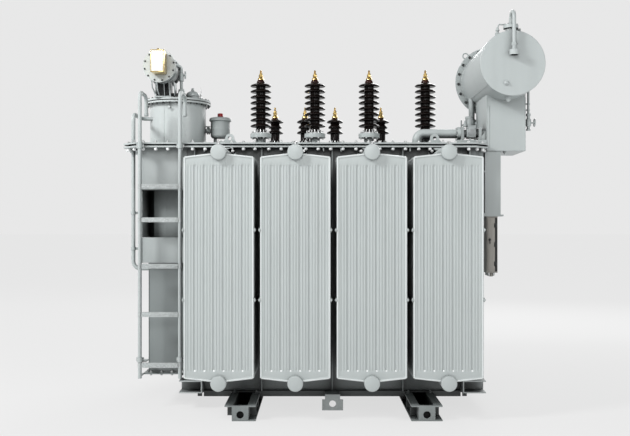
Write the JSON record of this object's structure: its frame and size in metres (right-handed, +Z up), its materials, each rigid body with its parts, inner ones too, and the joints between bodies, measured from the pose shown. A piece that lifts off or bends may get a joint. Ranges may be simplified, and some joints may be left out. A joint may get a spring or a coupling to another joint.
{
  "type": "power transformer",
  "caption": "Oil-filled power transformer with panel radiators, tap changer turret, bushings on the cover and a cylindrical conservator on a pedestal.",
  "frame": {"origin": "midway between the two skids, on the floor under the middle of the tank", "axes": "+X along the long side from the tap changer end to the conservator end, +Y away from the front radiators, +Z up"},
  "size_m": [3.403, 2.41, 3.144],
  "materials": {
    "tank_paint": "satin light grey-green enamel",
    "gasket": "matte black sheet",
    "porcelain": "glossy near-black brown glaze",
    "brass": "dull turned brass",
    "gauge_white": "white gauge face",
    "red_cap": "red cap",
    "box_steel": "satin warm grey sheet"
  },
  "bodies": {
    "root": {"base_plate": "tank_paint", "bay_box": "tank_paint", "bay_foot": "tank_paint", "bay_neck": "tank_paint", "bay_pocket": "tank_paint", "breather_pipe": "tank_paint", "bushing_flanges": "tank_paint", "bushing_terminals": "brass", "conservator_back_cover": "tank_paint", "conservator_bracket": "tank_paint", "conservator_front_end": "tank_paint", "conservator_pedestal": "tank_paint", "conservator_shell": "tank_paint", "cover_gasket": "gasket", "gas_relay": "tank_paint", "gauge_frame": "brass", "gauge_plate": "gauge_white", "hauling_lugs": "tank_paint", "hv_insulator_1": "porcelain", "hv_insulator_2": "porcelain", "hv_insulator_3": "porcelain", "hv_insulator_4": "porcelain", "jacking_channels": "tank_paint", "ladder_rails": "tank_paint", "ladder_treads": "tank_paint", "lifting_lugs": "tank_paint", "lv_insulator_1": "porcelain", "lv_insulator_2": "porcelain", "lv_insulator_3": "porcelain", "lv_insulator_4": "porcelain", "oil_pipes": "tank_paint", "radiator_back_1": "tank_paint", "radiator_back_2": "tank_paint", "radiator_back_3": "tank_paint", "radiator_back_4": "tank_paint", "radiator_front_1": "tank_paint", "radiator_front_2": "tank_paint", "radiator_front_3": "tank_paint", "radiator_front_4": "tank_paint", "radiator_valves": "tank_paint", "relief_cap": "red_cap", "relief_valve": "tank_paint", "rim_flange": "tank_paint", "side_pipe": "tank_paint", "skid_left": "tank_paint", "skid_right": "tank_paint", "tank_cover": "tank_paint", "tank_wall": "tank_paint", "tap_conservator": "tank_paint", "tap_head": "tank_paint", "tap_saddle": "tank_paint", "terminal_box": "box_steel", "turret_cover": "tank_paint", "turret_shell": "tank_paint", "wall_ribs": "tank_paint"}
  },
  "joints": []
}
